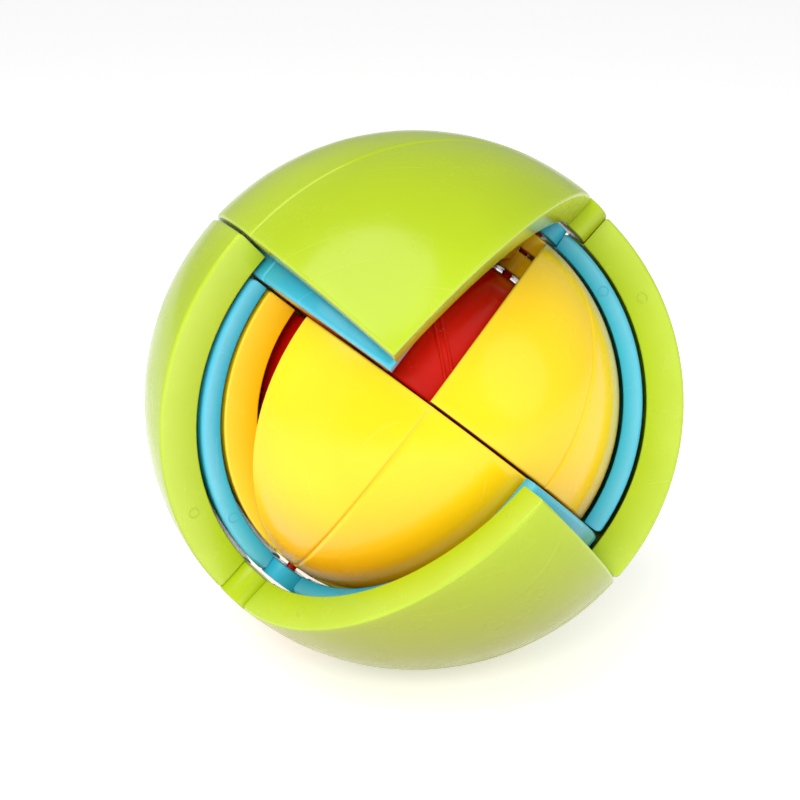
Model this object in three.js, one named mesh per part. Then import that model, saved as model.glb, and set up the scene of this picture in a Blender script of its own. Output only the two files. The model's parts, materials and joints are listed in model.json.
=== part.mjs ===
// Nested maze ball puzzle: four spherical layers, each cut into an upper and a lower
// half that twist about the layer's own polar axis. Millimetres, +Z up, origin at the
// centre of the ball.
import * as THREE from 'three';

// Radii of the layers, from the outside in, and of the hubs at their poles.
const BALL_RADIUS = 42;
const GREEN = { name: 'green', outer: BALL_RADIUS, inner: 36.2, hub: 3.2, color: 0xb9dd0c };
const BLUE = { name: 'blue', outer: 35.6, inner: 32.6, hub: 3.6, color: 0x35b6d6 };
const YELLOW = { name: 'yellow', outer: 32, inner: 25.2, hub: 4.2, color: 0xffd90a };
const YELLOW_SIDE = { ...YELLOW, inner: 26.6 };
const RED = { name: 'red', outer: 24.4, inner: 18.6, color: 0xc8160c };

// Clearances and the small parts at the poles.
const HALF_CUT_GAP = 0.22;
const TIP_GAP = 0.3;
const AXLE_RADIUS = 0.8;
const AXLE_CLEARANCE = 0.3;
const HUB_STACK_GAP = 0.4;
const BLUNT_TIP = 0.4;
const END_CAP_DEPTH = 0.8;

// Facets along each edge of a blade and round each turned part.
const BLADE_STEPS = 9;
const RED_LATITUDES = 10;
const TURNED_STEPS = 36;
const HUB_STEPS = 20;

// How the ball is held: the lean of each polar axis from the vertical and its heading
// from +X. The outer layer has slipped a few degrees round the inner ball.
const OUTER_LEAN = 47.4;
const OUTER_HEADING = 24.5;
const INNER_LEAN = 41.8;
const INNER_HEADING = 27.1;

// The open windows face this way: towards -Y and a little up.
const FACING_ELEVATION = 20;

// Widths of the blades and how far the sides of the main yellow ones are set in, then where
// the blades stand: longitudes of a window edge, or of the middle of a pair's front blade,
// measured from the facing direction.
const OCTANT_WIDTH = 90;
const YELLOW_MAIN_WIDTH = 86;
const YELLOW_SIDE_WIDTH = 70;
const BLUE_LOWER_WIDTH = 86;
const YELLOW_MAIN_INSET = 1.9;
const UPPER_WINDOW_EDGE = -8.5;
const LOWER_WINDOW_EDGE = -57;
const YELLOW_UPPER_MAIN = 46.5;
const YELLOW_UPPER_SIDE = -47;
const YELLOW_LOWER_MAIN = 4.5;
const YELLOW_LOWER_SIDE = -92;

const radians = THREE.MathUtils.degToRad;

/** Turns a layer's own frame, poles along Z, to the way the ball is held. */
function heldFrame(lean, heading) {
  const group = new THREE.Group();
  group.rotation.set(0, radians(lean), radians(heading), 'ZYX');
  group.updateMatrixWorld(true);
  return group;
}

/** Longitude, in degrees, of the facing direction in a held frame. */
function facingLongitude(frame) {
  const elevation = radians(FACING_ELEVATION);
  const facing = new THREE.Vector3(0, -Math.cos(elevation), Math.sin(elevation));
  facing.applyQuaternion(frame.quaternion.clone().invert());
  return THREE.MathUtils.radToDeg(Math.atan2(facing.y, facing.x));
}

/** Glossy plastic in a layer's colour. */
function plastic(color) {
  return new THREE.MeshStandardMaterial({ color, roughness: 0.28, metalness: 0 });
}

/** A named mesh from a geometry. */
function piece(name, geometry, color) {
  const mesh = new THREE.Mesh(geometry, plastic(color));
  mesh.name = name;
  return mesh;
}

/**
 * A blade's outline. Its sides are flat, parallel to the polar axis and set in from it by
 * inset; width is measured where the outside meets the cut.
 */
function bladeOutline(layer, half, middle, width, inset) {
  const sideAngle = radians(width / 2) + Math.asin(inset / layer.outer);
  const sharpEnd = inset / Math.sin(sideAngle);
  const tip = Math.max(layer.hub + TIP_GAP, sharpEnd + BLUNT_TIP);
  return { half, middle: radians(middle), sideAngle, inset, tip };
}

/** A point of a blade: radius r, fractions u across and v from the cut to the pole. */
function bladePoint(outline, r, u, v) {
  const lowest = Math.asin(HALF_CUT_GAP / r);
  const highest = Math.acos(outline.tip / r);
  const latitude = lowest + (highest - lowest) * v;
  const across = r * Math.cos(latitude);
  const reach = outline.sideAngle - Math.asin(outline.inset / across);
  const longitude = outline.middle + reach * (2 * u - 1);
  const height = outline.half * r * Math.sin(latitude);
  return [across * Math.cos(longitude), across * Math.sin(longitude), height];
}

/** Two triangles over four corners, turned over on the lower half. */
function addQuad(index, half, a, b, c, d) {
  if (half > 0) {
    index.push(a, b, c, a, c, d);
  } else {
    index.push(a, c, b, a, d, c);
  }
}

/** A blade: a spherical triangle of shell from the cut plane to the pole. */
function bladeGeometry(layer, outline) {
  const steps = BLADE_STEPS;
  const half = outline.half;
  const side = steps + 1;
  const positions = [];
  for (const r of [layer.outer, layer.inner]) {
    for (let j = 0; j <= steps; j += 1) {
      for (let i = 0; i <= steps; i += 1) {
        positions.push(...bladePoint(outline, r, i / steps, j / steps));
      }
    }
  }
  const outer = (i, j) => j * side + i;
  const inner = (i, j) => side * side + j * side + i;
  const index = [];
  for (let k = 0; k < steps; k += 1) {
    for (let i = 0; i < steps; i += 1) {
      addQuad(index, half, outer(i, k), outer(i + 1, k), outer(i + 1, k + 1), outer(i, k + 1));
      addQuad(index, half, inner(i, k), inner(i, k + 1), inner(i + 1, k + 1), inner(i + 1, k));
    }
    addQuad(index, half, inner(k, 0), inner(k + 1, 0), outer(k + 1, 0), outer(k, 0));
    addQuad(index, half, outer(k, steps), outer(k + 1, steps), inner(k + 1, steps), inner(k, steps));
    addQuad(index, half, inner(0, k + 1), inner(0, k), outer(0, k), outer(0, k + 1));
    addQuad(index, half, outer(steps, k + 1), outer(steps, k), inner(steps, k), inner(steps, k + 1));
  }
  const geometry = new THREE.BufferGeometry();
  geometry.setAttribute('position', new THREE.Float32BufferAttribute(positions, 3));
  geometry.setIndex(index);
  geometry.computeVertexNormals();
  return geometry;
}

/** A solid turned about Z from an outline of [radius, height] points. */
function turned(outline, steps) {
  const points = outline.map(([radius, height]) => new THREE.Vector2(radius, height));
  return new THREE.LatheGeometry(points, steps).rotateX(Math.PI / 2);
}

/** A ring turned about Z: its outline closes on itself. */
function turnedRing(outline, steps) {
  return turned([...outline, outline[0]], steps);
}

/** The outline mirrored to the lower half when half is -1, still running anticlockwise. */
function onHalf(outline, half) {
  if (half > 0) {
    return outline;
  }
  return outline.map(([radius, height]) => [radius, -height]).reverse();
}

/** A hub ring that two blade tips meet at, between two radii on the axis. */
function hubRing(layer, bottom, top, half) {
  const radius = layer.hub;
  const bore = AXLE_RADIUS + AXLE_CLEARANCE;
  const rimTop = Math.sqrt(top * top - radius * radius);
  const boreTop = Math.sqrt(top * top - bore * bore);
  const outline = [[bore, bottom], [radius, bottom], [radius, rimTop], [bore, boreTop]];
  return turnedRing(onHalf(outline, half), HUB_STEPS);
}

/** The solid button that closes a pole of the outer layer. */
function poleButton(layer, half) {
  const rim = layer.hub;
  const middle = rim / 2;
  const heightAt = (radius) => Math.sqrt(layer.outer * layer.outer - radius * radius);
  const outline = [
    [0, layer.inner],
    [rim, layer.inner],
    [rim, heightAt(rim)],
    [middle, heightAt(middle)],
    [0, layer.outer],
  ];
  return turned(onHalf(outline, half), HUB_STEPS);
}

/** Two opposite blades of one layer half. */
function addBladePair(frame, layer, label, half, middle, width, inset = 0) {
  const facing = facingLongitude(frame);
  ['front', 'back'].forEach((place, turn) => {
    const longitude = facing + middle + 180 * turn;
    const geometry = bladeGeometry(layer, bladeOutline(layer, half, longitude, width, inset));
    frame.add(piece(`${layer.name}_${label}_blade_${place}`, geometry, layer.color));
  });
}

/** One bowl of the red core, with a hole for the axle. */
function coreBowl(half) {
  const hole = AXLE_RADIUS + AXLE_CLEARANCE;
  const arc = (radius) => {
    const lowest = Math.asin(HALF_CUT_GAP / radius);
    const highest = Math.acos(hole / radius);
    const points = [];
    for (let k = 0; k <= RED_LATITUDES; k += 1) {
      const latitude = lowest + ((highest - lowest) * k) / RED_LATITUDES;
      points.push([radius * Math.cos(latitude), radius * Math.sin(latitude)]);
    }
    return points;
  };
  const outline = [...arc(RED.outer), ...arc(RED.inner).reverse()];
  return turnedRing(onHalf(outline, half), TURNED_STEPS);
}

/** The axle that the three inner layers turn on. */
function axle() {
  const length = 2 * (BLUE.outer - END_CAP_DEPTH - AXLE_CLEARANCE);
  const geometry = new THREE.CylinderGeometry(AXLE_RADIUS, AXLE_RADIUS, length, HUB_STEPS);
  return geometry.rotateX(Math.PI / 2);
}

/** The cap over one end of the axle, let into the blue hub. */
function axleCap(half) {
  const low = BLUE.outer - END_CAP_DEPTH;
  const edge = Math.sqrt(BLUE.outer * BLUE.outer - AXLE_RADIUS * AXLE_RADIUS);
  const outline = [[0, low], [AXLE_RADIUS, low], [AXLE_RADIUS, edge], [0, BLUE.outer]];
  return turned(onHalf(outline, half), HUB_STEPS);
}

/** The outer layer: two open pinwheels with buttons at the poles. */
function outerLayer() {
  const frame = heldFrame(OUTER_LEAN, OUTER_HEADING);
  const lowerMiddle = LOWER_WINDOW_EDGE - OCTANT_WIDTH / 2;
  const upperMiddle = UPPER_WINDOW_EDGE - OCTANT_WIDTH / 2;
  addBladePair(frame, GREEN, 'upper', 1, upperMiddle, OCTANT_WIDTH);
  addBladePair(frame, GREEN, 'lower', -1, lowerMiddle, OCTANT_WIDTH);
  frame.add(piece('green_upper_pole_button', poleButton(GREEN, 1), GREEN.color));
  frame.add(piece('green_lower_pole_button', poleButton(GREEN, -1), GREEN.color));
  return frame;
}

/** The hubs of one half: blue outside, then the two stacked yellow ones. */
function addInnerHubs(frame, label, half) {
  const yellowMiddle = (YELLOW.outer + YELLOW.inner) / 2;
  const blueHub = hubRing(BLUE, BLUE.inner, BLUE.outer, half);
  const mainHub = hubRing(YELLOW, yellowMiddle + HUB_STACK_GAP / 2, YELLOW.outer, half);
  const sideHub = hubRing(YELLOW, YELLOW.inner, yellowMiddle - HUB_STACK_GAP / 2, half);
  frame.add(piece(`blue_${label}_hub`, blueHub, BLUE.color));
  frame.add(piece(`yellow_${label}_main_hub`, mainHub, YELLOW.color));
  frame.add(piece(`yellow_${label}_side_hub`, sideHub, YELLOW.color));
}

/** The inner ball: blue, yellow and red layers on one axle. */
function innerBall() {
  const frame = heldFrame(INNER_LEAN, INNER_HEADING);
  const upperMiddle = UPPER_WINDOW_EDGE - OCTANT_WIDTH / 2;
  const lowerMiddle = LOWER_WINDOW_EDGE - BLUE_LOWER_WIDTH / 2;
  const mainShape = [YELLOW_MAIN_WIDTH, YELLOW_MAIN_INSET];
  addBladePair(frame, BLUE, 'upper', 1, upperMiddle, OCTANT_WIDTH);
  addBladePair(frame, BLUE, 'lower', -1, lowerMiddle, BLUE_LOWER_WIDTH);
  addBladePair(frame, YELLOW, 'upper_main', 1, YELLOW_UPPER_MAIN, ...mainShape);
  addBladePair(frame, YELLOW_SIDE, 'upper_side', 1, YELLOW_UPPER_SIDE, YELLOW_SIDE_WIDTH);
  addBladePair(frame, YELLOW, 'lower_main', -1, YELLOW_LOWER_MAIN, ...mainShape);
  addBladePair(frame, YELLOW_SIDE, 'lower_side', -1, YELLOW_LOWER_SIDE, YELLOW_SIDE_WIDTH);
  addInnerHubs(frame, 'upper', 1);
  addInnerHubs(frame, 'lower', -1);
  frame.add(piece('red_core_upper', coreBowl(1), RED.color));
  frame.add(piece('red_core_lower', coreBowl(-1), RED.color));
  frame.add(piece('axle', axle(), RED.color));
  frame.add(piece('axle_cap_upper', axleCap(1), BLUE.color));
  frame.add(piece('axle_cap_lower', axleCap(-1), BLUE.color));
  return frame;
}

const mazeBall = new THREE.Group();
mazeBall.add(outerLayer());
mazeBall.add(innerBall());

export default mazeBall;
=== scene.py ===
"""Visual model of the maze ball puzzle: nested glossy shells cut into twisting pinwheels."""

import json
import logging
import math
from dataclasses import dataclass, field
from enum import Enum
from typing import Any, Iterable, Sequence

import bmesh
import bpy
from mathutils import Matrix, Vector


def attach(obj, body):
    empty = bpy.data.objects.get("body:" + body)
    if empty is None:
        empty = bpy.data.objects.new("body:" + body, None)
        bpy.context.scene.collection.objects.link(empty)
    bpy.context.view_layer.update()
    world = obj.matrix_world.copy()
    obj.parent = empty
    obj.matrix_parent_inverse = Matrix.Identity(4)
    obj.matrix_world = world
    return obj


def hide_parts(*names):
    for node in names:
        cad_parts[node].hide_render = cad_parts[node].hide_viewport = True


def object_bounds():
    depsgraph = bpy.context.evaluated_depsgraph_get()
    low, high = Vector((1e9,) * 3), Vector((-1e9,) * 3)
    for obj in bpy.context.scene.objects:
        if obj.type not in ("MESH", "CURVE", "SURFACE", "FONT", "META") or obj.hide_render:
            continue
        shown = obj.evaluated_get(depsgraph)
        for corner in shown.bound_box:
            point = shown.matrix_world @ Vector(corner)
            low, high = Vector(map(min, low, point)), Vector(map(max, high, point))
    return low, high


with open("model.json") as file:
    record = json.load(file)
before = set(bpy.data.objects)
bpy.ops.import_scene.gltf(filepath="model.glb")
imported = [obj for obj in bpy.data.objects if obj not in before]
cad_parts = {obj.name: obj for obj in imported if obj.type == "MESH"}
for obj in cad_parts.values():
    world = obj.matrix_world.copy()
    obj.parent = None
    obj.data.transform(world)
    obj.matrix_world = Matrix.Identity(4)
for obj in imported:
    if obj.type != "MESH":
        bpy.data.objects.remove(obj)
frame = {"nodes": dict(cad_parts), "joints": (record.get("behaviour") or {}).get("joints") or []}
cad_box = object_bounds()

LOG = logging.getLogger("maze_ball")
MM = 0.001
NEARLY = 0.001
LEAST_HALF_ANGLE = 0.002

Point = tuple[float, float, float]
Colour = tuple[float, float, float]


# ---------------------------------------------------------------- shader wrapper


class Value:
    """A node socket that takes part in Python arithmetic by adding Math nodes."""

    def __init__(self, graph: "Graph", socket: bpy.types.NodeSocket) -> None:
        """Wraps one output socket of the graph."""
        self.graph = graph
        self.socket = socket

    def _math(self, operation: str, first: Any, second: Any) -> "Value":
        """Adds one Math node.

        Args:
            operation: the Math node's operation.
            first: a Value or a number.
            second: a Value or a number.

        Returns:
            The node's result.
        """
        return self.graph.node("ShaderNodeMath", {"operation": operation}, {0: first, 1: second})

    def __add__(self, other: Any) -> "Value":
        """self + other."""
        return self._math("ADD", self, other)

    def __radd__(self, other: Any) -> "Value":
        """other + self."""
        return self._math("ADD", other, self)

    def __sub__(self, other: Any) -> "Value":
        """self - other."""
        return self._math("SUBTRACT", self, other)

    def __rsub__(self, other: Any) -> "Value":
        """other - self."""
        return self._math("SUBTRACT", other, self)

    def __mul__(self, other: Any) -> "Value":
        """self * other."""
        return self._math("MULTIPLY", self, other)

    def __rmul__(self, other: Any) -> "Value":
        """other * self."""
        return self._math("MULTIPLY", other, self)

    def above(self, level: float, softness: float) -> "Value":
        """A mask that rises from 0 to 1 as the value passes a level.

        Args:
            level: where the rise starts.
            softness: how far the rise runs.

        Returns:
            The mask, held between 0 and 1.
        """
        settings = {"interpolation_type": "SMOOTHSTEP"}
        sockets = {"Value": self, "From Min": level, "From Max": level + softness}
        return self.graph.node("ShaderNodeMapRange", settings, sockets)


class Graph:
    """A material's node tree, with one way to add any node."""

    def __init__(self, name: str) -> None:
        """Makes an empty node material."""
        self.material = bpy.data.materials.new(name)
        self.material.use_nodes = True
        self.tree = self.material.node_tree
        self.tree.nodes.clear()

    def node(
        self, kind: str, settings: dict[str, Any], sockets: dict[Any, Any], output: Any = 0
    ) -> Value:
        """Adds a node.

        Args:
            kind: the node's type name.
            settings: attributes that are set before its sockets.
            sockets: a number, colour or Value for each named input.
            output: name or index of the output that is wanted.

        Returns:
            The wanted output.
        """
        made = self.tree.nodes.new(kind)
        for key, setting in settings.items():
            setattr(made, key, setting)
        for key, content in sockets.items():
            if isinstance(content, Value):
                self.tree.links.new(content.socket, made.inputs[key])
            else:
                made.inputs[key].default_value = content
        return Value(self, made.outputs[output])

    def mix(self, factor: Value, first: Any, second: Any) -> Value:
        """Mixes two colours.

        Args:
            factor: 0 for the first colour, 1 for the second.
            first: a colour or a Value.
            second: a colour or a Value.

        Returns:
            The mixed colour.
        """
        sockets = {"Factor": factor, 6: opaque(first), 7: opaque(second)}
        return self.node("ShaderNodeMix", {"data_type": "RGBA"}, sockets, 2)

    def surface(self, shader: Value) -> None:
        """Joins a shader to the material's output."""
        output = self.tree.nodes.new("ShaderNodeOutputMaterial")
        self.tree.links.new(shader.socket, output.inputs["Surface"])

    def noise(self, place: Value, scale: float, detail: float) -> Value:
        """Cloudy noise at a scale, in repeats to the metre."""
        sockets = {"Vector": place, "Scale": scale, "Detail": detail}
        return self.node("ShaderNodeTexNoise", {}, sockets)


def opaque(colour: Any) -> Any:
    """A three-part colour with alpha 1; a Value is passed on as it is."""
    if isinstance(colour, Value):
        return colour
    return (*colour, 1.0)


# ---------------------------------------------------------------- finishes


@dataclass(frozen=True)
class GlossPlastic:
    """Gloss plastic from injection moulding, with orange peel, handling haze, pale edges and painted
    shade on its downward-facing surfaces.
    """

    name: str
    colour: Colour
    deep: Colour
    pale: Colour
    # under is painted shade: the darker colour mixed into surfaces that face downwards. On the yellow it
    # is orange, a painted warm shade.
    under: Colour
    roughness: float = 0.2
    haze: float = 0.1
    peel: float = 0.03
    coat: float = 0.14

    def material(self) -> bpy.types.Material:
        """Builds the finish's node material."""
        graph = Graph(self.name)
        place = graph.node("ShaderNodeTexCoord", {}, {}, "Object")
        flow = graph.noise(place, 38.0, 2.0)
        cloud = graph.noise(place, 160.0, 3.0)
        peel = graph.noise(place, 900.0, 1.0)
        edge = graph.node("ShaderNodeAttribute", {"attribute_name": "edge"}, {}, "Fac")
        scratch = self.scratches(graph, place)
        flowed = graph.mix(flow.above(0.36, 0.3), self.deep, self.colour)
        # Painted shade: the colour darkens towards under as the surface turns to face downwards. It
        # stands in for the shade beneath the ball.
        facing = graph.node("ShaderNodeNewGeometry", {}, {}, "Normal")
        upward = graph.node("ShaderNodeSeparateXYZ", {}, {"Vector": facing}, "Z")
        shaded_below = graph.mix((0.0 - upward).above(-0.1, 0.95), flowed, self.under)
        clean = graph.mix(edge * (0.35 + 0.3 * cloud), shaded_below, self.pale)
        worn = graph.mix(scratch * 0.05, clean, self.pale)
        rough = self.roughness + self.haze * cloud.above(0.42, 0.3) + 0.1 * scratch
        height = 0.7 * peel + 0.3 * cloud - 0.6 * scratch
        bump = graph.node(
            "ShaderNodeBump", {}, {"Strength": self.peel, "Distance": 0.0002, "Height": height}
        )
        shader = graph.node(
            "ShaderNodeBsdfPrincipled",
            {},
            {
                "Base Color": worn,
                "Roughness": rough,
                "Normal": bump,
                "Coat Weight": self.coat,
                "Coat Roughness": 0.08,
                "IOR": 1.42,
                "Subsurface Weight": 0.08,
                "Subsurface Radius": (0.004, 0.003, 0.0015),
                "Subsurface Scale": 0.5,
            },
        )
        graph.surface(shader)
        return graph.material

    @staticmethod
    def scratches(graph: Graph, place: Value) -> Value:
        """Fine short scratches from handling, as a mask."""
        sockets = {"Vector": place, "Rotation": (0.5, 0.9, 0.3), "Scale": (60.0, 2200.0, 60.0)}
        stretched = graph.node("ShaderNodeMapping", {}, sockets)
        streak = graph.noise(stretched, 1.0, 0.0)
        return streak.above(0.76, 0.05)


@dataclass(frozen=True)
class PaleGround:
    """Plain matt paper for the floor, lit enough to stay white."""

    colour: Colour = (0.93, 0.93, 0.925)
    bright: Colour = (0.95, 0.95, 0.95)
    glow: float = 0.5

    def material(self) -> bpy.types.Material:
        """Builds the floor's material."""
        graph = Graph("pale_ground")
        place = graph.node("ShaderNodeTexCoord", {}, {}, "Object")
        grain = graph.noise(place, 6.0, 2.0)
        tone = graph.mix(grain, self.colour, self.bright)
        sockets = {
            "Base Color": tone,
            "Roughness": 0.85,
            "Emission Color": (1.0, 1.0, 1.0, 1.0),
            "Emission Strength": self.glow,
        }
        graph.surface(graph.node("ShaderNodeBsdfPrincipled", {}, sockets))
        return graph.material


class Finish(Enum):
    """The plastics of the puzzle."""

    # The fourth colour of each plastic is painted shade for its downward-facing surfaces.
    GREEN = GlossPlastic(
        "green_plastic", (0.45, 0.6, 0.01), (0.41, 0.55, 0.007), (0.6, 0.76, 0.12), (0.25, 0.25, 0.005)
    )
    BLUE = GlossPlastic(
        "blue_plastic", (0.035, 0.47, 0.66), (0.026, 0.41, 0.59), (0.25, 0.68, 0.84), (0.01, 0.28, 0.43)
    )
    YELLOW = GlossPlastic(
        "yellow_plastic", (1.0, 0.68, 0.008), (0.98, 0.62, 0.005), (1.0, 0.78, 0.1), (0.82, 0.32, 0.002)
    )
    RED = GlossPlastic(
        "red_plastic", (0.9, 0.012, 0.003), (0.8, 0.009, 0.002), (0.98, 0.05, 0.02), (0.6, 0.006, 0.002)
    )

    def __init__(self, plastic: GlossPlastic) -> None:
        """Keeps the plastic; its material is built when it is first used."""
        self.plastic = plastic
        self.built: bpy.types.Material | None = None

    def material(self) -> bpy.types.Material:
        """The plastic's material, built once."""
        if self.built is None:
            self.built = self.plastic.material()
        return self.built


# ---------------------------------------------------------------- shared geometry


@dataclass(frozen=True)
class PolarFrame:
    """A layer's own frame: poles along Z, centre at the hinge point."""

    joint: str

    def turn(self) -> Matrix:
        """Rotation from the polar frame to the ball's frame, from the joint's axis."""
        record = next(each for each in frame["joints"] if each["name"] == self.joint)
        pole = Vector(record["axis"]).normalized()
        east = Vector((0, 0, 1)).cross(pole).normalized()
        return Matrix((east, pole.cross(east), pole)).transposed()

    def measured(self, node: str) -> list[Vector]:
        """A CAD node's corners in this polar frame, in metres."""
        inverse = self.turn().transposed()
        return [inverse @ vertex.co for vertex in frame["nodes"][node].data.vertices]

    def placed(self, points: Iterable[Sequence[float]]) -> list[Vector]:
        """Points of the polar frame, in the ball's frame."""
        turn = self.turn()
        return [turn @ Vector(point) for point in points]


def on_sphere(radius: float, longitude: float, latitude: float) -> Point:
    """A point of a sphere about the centre of the polar frame."""
    across = radius * math.cos(latitude)
    return (across * math.cos(longitude), across * math.sin(longitude), radius * math.sin(latitude))


def rounding(distance: float, fillet: float) -> float:
    """How far a rounded edge falls away.

    Args:
        distance: distance from the edge, in metres.
        fillet: radius of the rounding, in metres.

    Returns:
        The fall, from fillet at the edge to 0 where the rounding ends.
    """
    if distance >= fillet:
        return 0.0
    reach = fillet - distance
    return fillet - math.sqrt(max(0.0, fillet * fillet - reach * reach))


def even(start: float, end: float, steps: int) -> list[float]:
    """Values from start to end, the ends left out."""
    return [start + (end - start) * k / steps for k in range(1, steps)]


def make_piece(
    name: str, points: Sequence[Vector], faces: Sequence[Sequence[int]]
) -> bpy.types.Object:
    """A smooth-shaded mesh object in the scene.

    Args:
        name: the piece's name.
        points: corners, in metres.
        faces: corner numbers of each face.

    Returns:
        The new object.
    """
    mesh = bpy.data.meshes.new(name)
    mesh.from_pydata([tuple(point) for point in points], [], faces)
    work = bmesh.new()
    work.from_mesh(mesh)
    bmesh.ops.recalc_face_normals(work, faces=work.faces)
    work.to_mesh(mesh)
    work.free()
    mesh.polygons.foreach_set("use_smooth", [True] * len(mesh.polygons))
    piece = bpy.data.objects.new(name, mesh)
    bpy.context.scene.collection.objects.link(piece)
    return piece


def mark_edges(piece: bpy.types.Object, amounts: Sequence[float]) -> None:
    """Stores how near each corner is to a rounded edge, for the finish to read."""
    layer = piece.data.attributes.new("edge", "FLOAT", "POINT")
    layer.data.foreach_set("value", list(amounts))


def keep_flats(piece: bpy.types.Object) -> None:
    """Keeps flat faces flat beside their rounded edges."""
    weighted = piece.modifiers.new("flat_faces", "WEIGHTED_NORMAL")
    weighted.mode = "FACE_AREA"
    weighted.weight = 90


@dataclass
class Dressing:
    """What a finished piece is made of, moves with and stands for."""

    finish: Finish
    slot: str
    body: str

    def put_on(self, piece: bpy.types.Object, *nodes: str) -> bpy.types.Object:
        """Gives a piece its plastic and joins it to the frame."""
        piece.data.materials.append(self.finish.material())
        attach(piece, self.body)
        if nodes:
            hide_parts(*nodes)
        LOG.info("%s rides on %s and stands for %s", piece.name, self.body, ", ".join(nodes) or "no node")
        return piece


# ---------------------------------------------------------------- blades


@dataclass
class Blade:
    """One spherical-triangle blade of a pinwheel, with rounded edges and a parting seam."""

    node: str
    hub: str
    poles: PolarFrame
    dressing: Dressing
    fillet: float = 0.55 * MM
    hub_seam: float = 0.1 * MM
    inner_fillet: float = 0.25 * MM
    seam_width: float = 0.42 * MM
    seam_depth: float = 0.28 * MM
    body_steps: int = 16
    outer: float = field(init=False)
    inner: float = field(init=False)
    half: int = field(init=False)
    middle: float = field(init=False)
    width: float = field(init=False)
    inset: float = field(init=False)
    gap: float = field(init=False)
    tip: float = field(init=False)

    def __post_init__(self) -> None:
        """Measures the blade's CAD solid."""
        corners = self.poles.measured(self.node)
        self.outer = max(corner.length for corner in corners)
        self.inner = min(corner.length for corner in corners)
        self.half = 1 if sum(corner.z for corner in corners) > 0 else -1
        self.gap = min(abs(corner.z) for corner in corners)
        cad_tip = min(math.hypot(corner.x, corner.y) for corner in corners)
        self.tip = self.hub_seam + max(math.hypot(c.x, c.y) for c in self.poles.measured(self.hub))
        bearing = math.atan2(sum(c.y for c in corners), sum(c.x for c in corners))
        self.middle = bearing
        turns = [self.turn_of(corner) for corner in corners]
        self.width = max(turns) - min(turns)
        self.middle = bearing + (max(turns) + min(turns)) / 2
        self.inset = self.measured_inset(corners, cad_tip)

    def measured_inset(self, corners: Sequence[Vector], cad_tip: float) -> float:
        """How far the flat sides stand off the polar axis.

        Args:
            corners: the solid's corners in the polar frame.
            cad_tip: the solid's smallest distance from the axis.

        Returns:
            The distance from the axis to the plane of a side, in metres.
        """
        away = [math.hypot(c.x, c.y) for c in corners]
        widest = (1 - NEARLY) * self.outer
        narrowest = (1 + NEARLY) * cad_tip
        at_cut = [corner for corner, distance in zip(corners, away) if distance > widest]
        at_tip = [corner for corner, distance in zip(corners, away) if distance < narrowest]
        far = max(at_cut, key=self.turn_of).to_2d()
        near = max(at_tip, key=self.turn_of).to_2d()
        return abs((far - near).normalized().cross(near))

    def turn_of(self, corner: Vector) -> float:
        """A corner's longitude, measured from the middle of the blade."""
        return math.remainder(math.atan2(corner.y, corner.x) - self.middle, math.tau)

    def reach(self, across: float) -> float:
        """Half the blade's angle about the axis, at a distance from the axis."""
        lean = math.asin(min(1.0, self.inset / self.outer)) - math.asin(min(1.0, self.inset / across))
        return max(LEAST_HALF_ANGLE, self.width / 2 + lean)

    def rows(self) -> list[float]:
        """Distances of the rows of the grid from the cut, as arc lengths on the outside."""
        length = self.outer * (math.acos(self.tip / self.outer) - math.asin(self.gap / self.outer))
        edge = [self.fillet * part for part in (0.0, 0.08, 0.3, 0.6, 1.0)]
        far = [length - part for part in reversed(edge)]
        return edge + even(edge[-1], far[0], 2 * self.body_steps) + far

    def columns(self, span: float) -> list[float]:
        """Places of the columns along half a row, from the seam out to the side edge.

        Args:
            span: half the row's length, in metres.

        Returns:
            Arc lengths from the seam, in metres.
        """
        seam = [self.seam_width * part for part in (0.0, 0.35, 0.7, 1.0, 1.6)]
        edge = [self.fillet * part for part in (1.0, 0.6, 0.3, 0.08, 0.0)]
        fit = min(1.0, 0.8 * span / (seam[-1] + edge[0]))
        inside = [fit * part for part in seam]
        outside = [span - fit * part for part in edge]
        return inside + even(inside[-1], outside[0], self.body_steps) + outside

    def drop(self, side: float, low: float, high: float, seam: float) -> float:
        """How far the outside lies below the sphere.

        Args:
            side: distance from the side edge.
            low: distance from the cut.
            high: distance from the tip.
            seam: distance from the seam.

        Returns:
            The depth, in metres.
        """
        edges = (side, low, high)
        fall = min(self.fillet, math.hypot(*[rounding(distance, self.fillet) for distance in edges]))
        groove = self.seam_depth * math.exp(-((seam / (0.6 * self.seam_width)) ** 2))
        return fall + groove * (1 - fall / self.fillet)

    def surface(self, outside: bool) -> tuple[list[Point], list[float], int]:
        """The grid of the outside or the inside.

        Args:
            outside: True for the outside, False for the inside.

        Returns:
            The points, how near each is to an edge, and the number of columns.
        """
        points: list[Point] = []
        edges: list[float] = []
        rows = self.rows()
        count = 0
        base = self.outer if outside else self.inner
        lowest = math.asin(self.gap / base)
        highest = math.acos(self.tip / base)
        for row in rows:
            part = row / rows[-1]
            latitude = lowest + (highest - lowest) * part
            across = self.outer * math.cos(latitude)
            reach = self.reach(base * math.cos(latitude))
            span = across * reach
            half_row = self.columns(span)
            places = [-place for place in reversed(half_row[1:])] + half_row
            count = len(places)
            for place in places:
                side = span - abs(place)
                fall = self.drop(side, row, rows[-1] - row, abs(place))
                near = rounding(min(side, row, rows[-1] - row), 2 * self.fillet) / (2 * self.fillet)
                radius = base - fall if outside else base + self.rise(side, row, rows[-1] - row)
                longitude = self.middle + place / across
                points.append(on_sphere(radius, longitude, self.half * latitude))
                edges.append(near if outside else 0.0)
        return points, edges, count

    def rise(self, side: float, low: float, high: float) -> float:
        """How far the inside's rounded edges stand off the inner sphere."""
        return rounding(min(side, low, high), self.inner_fillet)

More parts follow.
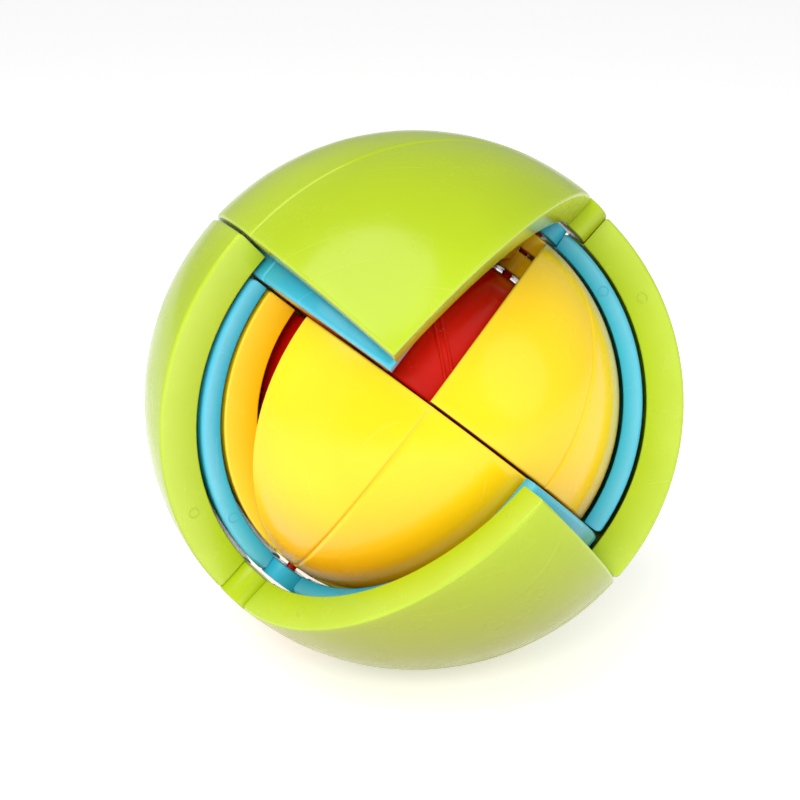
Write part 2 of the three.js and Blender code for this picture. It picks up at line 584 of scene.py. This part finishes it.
    def build(self) -> bpy.types.Object:
        """Builds the blade's mesh."""
        outside, outer_edges, count = self.surface(True)
        inside, inner_edges, _ = self.surface(False)
        rows = len(outside) // count
        shift = len(outside)
        faces: list[tuple[int, ...]] = []
        for j in range(rows - 1):
            for i in range(count - 1):
                a = j * count + i
                quad = (a, a + 1, a + count + 1, a + count)
                faces.append(quad)
                faces.append(tuple(shift + corner for corner in reversed(quad)))
        ring = list(range(count))
        ring += [j * count + count - 1 for j in range(1, rows)]
        ring += [(rows - 1) * count + i for i in range(count - 2, -1, -1)]
        ring += [j * count for j in range(rows - 2, 0, -1)]
        for first, second in zip(ring, ring[1:] + ring[:1]):
            faces.append((second, first, shift + first, shift + second))
        piece = make_piece(f"{self.node}_shell", self.poles.placed(outside + inside), faces)
        mark_edges(piece, outer_edges + inner_edges)
        keep_flats(piece)
        return self.dressing.put_on(piece, self.node)


# ---------------------------------------------------------------- turned parts


def turned(
    name: str, poles: PolarFrame, outline: Sequence[tuple[float, float]], steps: int
) -> bpy.types.Object:
    """A solid turned about the polar axis.

    Args:
        name: the piece's name.
        poles: the polar frame.
        outline: (radius, height) points; a radius of 0 is a point on the axis.
        steps: facets round the axis.

    Returns:
        The new object.
    """
    points: list[Point] = []
    rings: list[list[int]] = []
    for radius, height in outline:
        turns = steps if radius > 0 else 1
        ring = [len(points) + k for k in range(turns)]
        for k in range(turns):
            angle = math.tau * k / steps
            points.append((radius * math.cos(angle), radius * math.sin(angle), height))
        rings.append(ring * steps if turns == 1 else ring)
    closed = outline[0][0] > 0
    pairs = list(zip(rings, rings[1:] + (rings[:1] if closed else [])))
    faces = [quad for lower, upper in pairs for quad in ring_faces(lower, upper, steps)]
    return make_piece(name, poles.placed(points), faces)


def ring_faces(lower: Sequence[int], upper: Sequence[int], steps: int) -> list[tuple[int, ...]]:
    """Faces between two rings of corners, triangles where one is a point."""
    faces = []
    for k in range(steps):
        after = (k + 1) % steps
        corners = (lower[k], lower[after], upper[after], upper[k])
        faces.append(tuple(dict.fromkeys(corners)))
    return faces


@dataclass
class TurnedPart:
    """A hub, button, cap or axle: turned, with rounded rims, from its CAD solid's own outline."""

    node: str
    poles: PolarFrame
    dressing: Dressing
    rim: float = 0.22 * MM
    foot: float = 0.0
    steps: int = 40

    def profile(self) -> list[tuple[float, float]]:
        """The solid's outline as (radius, height) points in order round the section."""
        corners = self.poles.measured(self.node)
        spots = {(round(math.hypot(c.x, c.y), 6), round(c.z, 6)) for c in corners}
        middle_radius = sum(spot[0] for spot in spots) / len(spots)
        middle_height = sum(spot[1] for spot in spots) / len(spots)
        around = sorted(spots, key=lambda s: math.atan2(s[1] - middle_height, s[0] - middle_radius))
        lowest = min(abs(height) for _, height in around)
        return [self.footed(spot, lowest) for spot in around]

    def footed(self, spot: tuple[float, float], lowest: float) -> tuple[float, float]:
        """Moves a point of the inner end towards the centre of the ball by the foot's depth."""
        radius, height = spot
        if abs(height) > lowest + self.rim:
            return spot
        return (radius, height - math.copysign(self.foot, height))

    def softened(self, outline: list[tuple[float, float]]) -> list[tuple[float, float]]:
        """The outline with each corner off the axis cut into a short round."""
        soft: list[tuple[float, float]] = []
        count = len(outline)
        for k, corner in enumerate(outline):
            if corner[0] < self.rim:
                soft.append((0.0, corner[1]))
                continue
            here = Vector(corner)
            for other in (outline[k - 1], outline[(k + 1) % count]):
                toward = Vector(other) - here
                reach = min(self.rim, 0.3 * toward.length)
                soft.append(tuple(here + toward.normalized() * reach))
        return soft

    def build(self) -> bpy.types.Object:
        """Builds the part's mesh."""
        outline = self.softened(self.profile())
        on_axis = [k for k, spot in enumerate(outline) if spot[0] == 0.0]
        if on_axis:
            start = next(k for k in on_axis if outline[(k + 1) % len(outline)][0] > 0)
            outline = outline[start:] + outline[:start]
        piece = turned(f"{self.node}_turned", self.poles, outline, self.steps)
        mark_edges(piece, [0.0] * len(piece.data.vertices))
        keep_flats(piece)
        return self.dressing.put_on(piece, self.node)


@dataclass
class CoreBowl:
    """One red bowl of the core, with a pair of raised seams over it."""

    node: str
    poles: PolarFrame
    dressing: Dressing
    bead: float = 0.3 * MM
    bead_spread: float = 1.2 * MM
    seam_turn: float = math.radians(-16.6)
    seam_lean: float = math.radians(43.4)
    wall: float = 1.6 * MM
    rim: float = 0.4 * MM
    rows: int = 30
    columns: int = 72
    bead_steps: int = 60
    bead_sides: int = 8

    def build(self) -> list[bpy.types.Object]:
        """Builds the bowl and its seams."""
        corners = self.poles.measured(self.node)
        outer = max(corner.length for corner in corners) - self.bead
        gap = min(abs(corner.z) for corner in corners)
        hole = min(math.hypot(corner.x, corner.y) for corner in corners)
        half = 1 if sum(corner.z for corner in corners) > 0 else -1
        made = [self.bowl(outer, gap, hole, half)]
        made += [self.seam(outer, gap, half, side) for side in (-1, 1)]
        return made

    def bowl(self, outer: float, gap: float, hole: float, half: int) -> bpy.types.Object:
        """Builds the bowl itself.

        Args:
            outer: radius of the bowl.
            gap: distance of the rim from the cut plane.
            hole: radius of the hole at the pole.
            half: 1 on the upper bowl, -1 on the lower.

        Returns:
            The new object.
        """
        outline: list[tuple[float, float]] = []
        low = math.asin(gap / outer)
        high = math.acos(hole / outer)
        heights = [low, low + 0.2 * self.rim / outer, low + self.rim / outer]
        heights += even(heights[-1], high, self.rows) + [high]
        for latitude in heights:
            radius = outer - rounding((latitude - low) * outer, self.rim)
            outline.append((radius * math.cos(latitude), half * radius * math.sin(latitude)))
        inner = outer - self.wall
        for latitude in reversed(heights):
            outline.append((inner * math.cos(latitude), half * inner * math.sin(latitude)))
        piece = turned(f"{self.node}_bowl", self.poles, outline, self.columns)
        mark_edges(piece, [0.0] * len(piece.data.vertices))
        keep_flats(piece)
        return self.dressing.put_on(piece, self.node)

    def seam(self, outer: float, gap: float, half: int, side: int) -> bpy.types.Object:
        """Builds one raised seam: a bead laid over the bowl from rim to rim.

        Args:
            outer: radius of the bowl.
            gap: distance of the rim from the cut plane.
            half: 1 on the upper bowl, -1 on the lower.
            side: which of the pair, -1 or 1.

        Returns:
            The new object.
        """
        start = Vector((math.cos(self.seam_turn), math.sin(self.seam_turn), 0.0))
        level = Vector((-start.y, start.x, 0.0))
        rise = Vector((0.0, 0.0, math.cos(self.seam_lean)))
        top = (level * math.sin(self.seam_lean) + rise) * half
        normal = start.cross(top)
        offset = side * self.bead_spread / 2
        across = math.sqrt(outer * outer - offset * offset)
        ends = math.asin((gap + 2 * self.bead) / (across * math.cos(self.seam_lean)))
        section = self.bead_sides
        points = []
        for k in range(self.bead_steps + 1):
            along = ends + (math.pi - 2 * ends) * k / self.bead_steps
            middle = (start * math.cos(along) + top * math.sin(along)) * across + normal * offset
            out = middle.normalized()
            aside = (normal - out * normal.dot(out)).normalized()
            for j in range(section):
                turn = math.tau * j / section
                spoke = out * math.cos(turn) + aside * math.sin(turn)
                points.append(middle + spoke * self.bead)
        rings = [list(range(k, k + section)) for k in range(0, len(points), section)]
        faces = [face for a, b in zip(rings, rings[1:]) for face in ring_faces(a, b, section)]
        faces += [tuple(rings[0]), tuple(rings[-1])]
        name = f"{self.node}_seam_{'left' if side < 0 else 'right'}"
        piece = make_piece(name, self.poles.placed(points), faces)
        mark_edges(piece, [0.3] * len(points))
        return self.dressing.put_on(piece)


# ---------------------------------------------------------------- mould marks


@dataclass
class EjectorMark:
    """A small ring left by an ejector pin on the flat side of a blade near its tip."""

    blade: Blade
    latitude: float
    ring: float = 0.75 * MM
    wire: float = 0.13 * MM
    inset: float = 0.06 * MM
    steps: int = 28
    section: int = 8

    def build(self, side: int) -> bpy.types.Object:
        """Builds the ring on one side of the blade.

        Args:
            side: -1 or 1, the side of the blade.

        Returns:
            The new object.
        """
        blade = self.blade
        depth = (blade.outer + blade.inner) / 2
        longitude = blade.middle + side * blade.reach(depth * math.cos(self.latitude))
        latitude = blade.half * self.latitude
        middle = Vector(on_sphere(depth, longitude, latitude))
        out = Vector((-math.sin(longitude), math.cos(longitude), 0.0)) * side
        first = middle.normalized()
        second = out.cross(first)
        points = []
        for k in range(self.steps):
            around = math.tau * k / self.steps
            spoke = first * math.cos(around) + second * math.sin(around)
            for j in range(self.section):
                turn = math.tau * j / self.section
                reach = self.ring + self.wire * math.cos(turn)
                lift = self.wire * math.sin(turn) - self.inset
                points.append(middle + spoke * reach + out * lift)
        rings = [list(range(k, k + self.section)) for k in range(0, len(points), self.section)]
        faces = [f for a, b in zip(rings, rings[1:] + rings[:1]) for f in ring_faces(a, b, self.section)]
        name = f"{blade.node}_mark_{'left' if side < 0 else 'right'}"
        piece = make_piece(name, blade.poles.placed(points), faces)
        mark_edges(piece, [0.35] * len(points))
        return blade.dressing.put_on(piece)


# ---------------------------------------------------------------- sub-assemblies


@dataclass
class Pinwheel:
    """Half a layer: two opposite blades and the hub between their tips."""

    blade_stem: str
    hub: str
    poles: PolarFrame
    dressing: Dressing
    fillet: float
    marked: bool = False
    foot: float = 0.0
    mark_latitude: float = math.radians(66)

    def build(self) -> list[bpy.types.Object]:
        """Builds the blades, their mould marks and the hub."""
        made = []
        for place in ("front", "back"):
            node = f"{self.blade_stem}_blade_{place}"
            blade = Blade(node, self.hub, self.poles, self.dressing, self.fillet)
            made.append(blade.build())
            if self.marked:
                mark = EjectorMark(blade, self.mark_latitude)
                made += [mark.build(-1), mark.build(1)]
        made.append(TurnedPart(self.hub, self.poles, self.dressing, foot=self.foot).build())
        return made


@dataclass
class OuterShell:
    """The green shell: two open pinwheels, each closed at its pole by a button."""

    poles: PolarFrame = PolarFrame("outer_upper_twist")
    fillet: float = 0.6 * MM

    def build(self) -> list[bpy.types.Object]:
        """Builds both halves."""
        made = []
        for half in ("upper", "lower"):
            dressing = Dressing(Finish.GREEN, "green_shell", f"outer_{half}")
            button = f"green_{half}_pole_button"
            wheel = Pinwheel(f"green_{half}", button, self.poles, dressing, self.fillet, marked=True)
            made += wheel.build()
        return made


@dataclass
class InnerBall:
    """The blue, yellow and red layers, on one axle."""

    poles: PolarFrame = PolarFrame("inner_ball_turn")
    blue_fillet: float = 0.8 * MM
    yellow_fillet: float = 0.35 * MM
    side_foot: float = 0.5 * MM

    def build(self) -> list[bpy.types.Object]:
        """Builds the three layers and the axle."""
        made = []
        for half in ("upper", "lower"):
            blue = Dressing(Finish.BLUE, "blue_shell", f"blue_{half}")
            stem = f"blue_{half}"
            made += Pinwheel(stem, f"{stem}_hub", self.poles, blue, self.blue_fillet, marked=True).build()
            for pair in ("main", "side"):
                stem = f"yellow_{half}_{pair}"
                yellow = Dressing(Finish.YELLOW, "yellow_shell", stem)
                foot = self.side_foot if pair == "side" else 0.0
                wheel = Pinwheel(stem, f"{stem}_hub", self.poles, yellow, self.yellow_fillet, foot=foot)
                made += wheel.build()
        return made + self.core()

    def core(self) -> list[bpy.types.Object]:
        """Builds the red bowls, the axle and its caps."""
        fixed = Dressing(Finish.RED, "red_core", "core")
        twisting = Dressing(Finish.RED, "red_core", "core_upper")
        cap = Dressing(Finish.BLUE, "blue_shell", "core")
        bowls = CoreBowl("red_core_lower", self.poles, fixed).build()
        bowls += CoreBowl("red_core_upper", self.poles, twisting).build()
        return bowls + [
            TurnedPart("axle", self.poles, fixed).build(),
            TurnedPart("axle_cap_upper", self.poles, cap, rim=0.12 * MM).build(),
            TurnedPart("axle_cap_lower", self.poles, cap, rim=0.12 * MM).build(),
        ]


# ---------------------------------------------------------------- studio


@dataclass
class Studio:
    """Pale floor, soft lights and the camera."""

    elevation: float = math.radians(20)
    distance_in_radii: float = 8.0
    ball_share: float = 0.675
    shift_x: float = -0.018
    sensor: float = 36.0
    floor_size: float = 6.0

    def radius(self) -> float:
        """Radius of the ball: the farthest corner of the outer shell."""
        nodes = [node for node in frame["nodes"] if node.startswith("green")]
        return max(v.co.length for node in nodes for v in frame["nodes"][node].data.vertices)

    def camera(self) -> None:
        """Places the camera in front of the ball and a little above it."""
        radius = self.radius()
        distance = self.distance_in_radii * radius
        back = Vector((0.0, -math.cos(self.elevation), math.sin(self.elevation)))
        data = bpy.data.cameras.new("front_camera")
        data.sensor_width = self.sensor
        seen = math.tan(math.asin(radius / distance))
        data.lens = self.sensor / 2 * self.ball_share / seen
        data.shift_x = self.shift_x
        camera = bpy.data.objects.new("front_camera", data)
        camera.location = back * distance
        camera.rotation_euler = (-back).to_track_quat("-Z", "Y").to_euler()
        bpy.context.scene.collection.objects.link(camera)
        bpy.context.scene.camera = camera

    def floor(self) -> None:
        """Lays the floor under the ball."""
        half = self.floor_size / 2
        low = cad_box[0].z - 0.2 * MM
        corners = [Vector((x * half, y * half, low)) for x, y in ((-1, -1), (1, -1), (1, 1), (-1, 1))]
        ground = make_piece("ground", corners, [(0, 1, 2, 3)])
        ground.data.materials.append(PaleGround().material())

    def light(
        self, name: str, place: Point, size: float, power: float, mirrored: bool = True
    ) -> None:
        """Hangs a round soft light that faces the ball.

        Args:
            name: the light's name.
            place: where it hangs, in ball radii.
            size: its diameter, in ball radii.
            power: its power in watts.
            mirrored: whether the plastic mirrors it.
        """
        radius = self.radius()
        data = bpy.data.lights.new(name, "AREA")
        data.shape = "DISK"
        data.size = size * radius
        data.energy = power
        lamp = bpy.data.objects.new(name, data)
        lamp.location = Vector(place) * radius
        lamp.visible_glossy = mirrored
        lamp.rotation_euler = (-lamp.location).to_track_quat("-Z", "Y").to_euler()
        bpy.context.scene.collection.objects.link(lamp)

    def world(self) -> None:
        """Sets the even pale surround."""
        world = bpy.data.worlds.new("surround")
        world.use_nodes = True
        ground = world.node_tree.nodes["Background"]
        ground.inputs["Color"].default_value = (1.0, 1.0, 1.0, 1.0)
        ground.inputs["Strength"].default_value = 0.42
        bpy.context.scene.world = world

    def build(self) -> None:
        """Sets up the whole studio."""
        self.camera()
        self.floor()
        self.world()
        self.light("top_light", (-3.0, -3.5, 9.0), 9.5, 0.95)
        self.light("right_light", (9.0, -5.0, 4.0), 8.0, 0.25)
        self.light("left_light", (-9.0, -6.0, 3.0), 8.0, 0.1)
        self.light("front_fill", (-0.6, -8.0, 4.2), 2.5, 0.55, mirrored=False)
        bpy.context.scene.view_settings.view_transform = "Standard"


def main() -> None:
    """Builds the studio and the ball."""
    logging.basicConfig(level=logging.INFO, format="%(name)s: %(message)s")
    Studio().build()
    made = OuterShell().build() + InnerBall().build()
    LOG.info("%d pieces made", len(made))


if __name__ == "__main__":
    main()
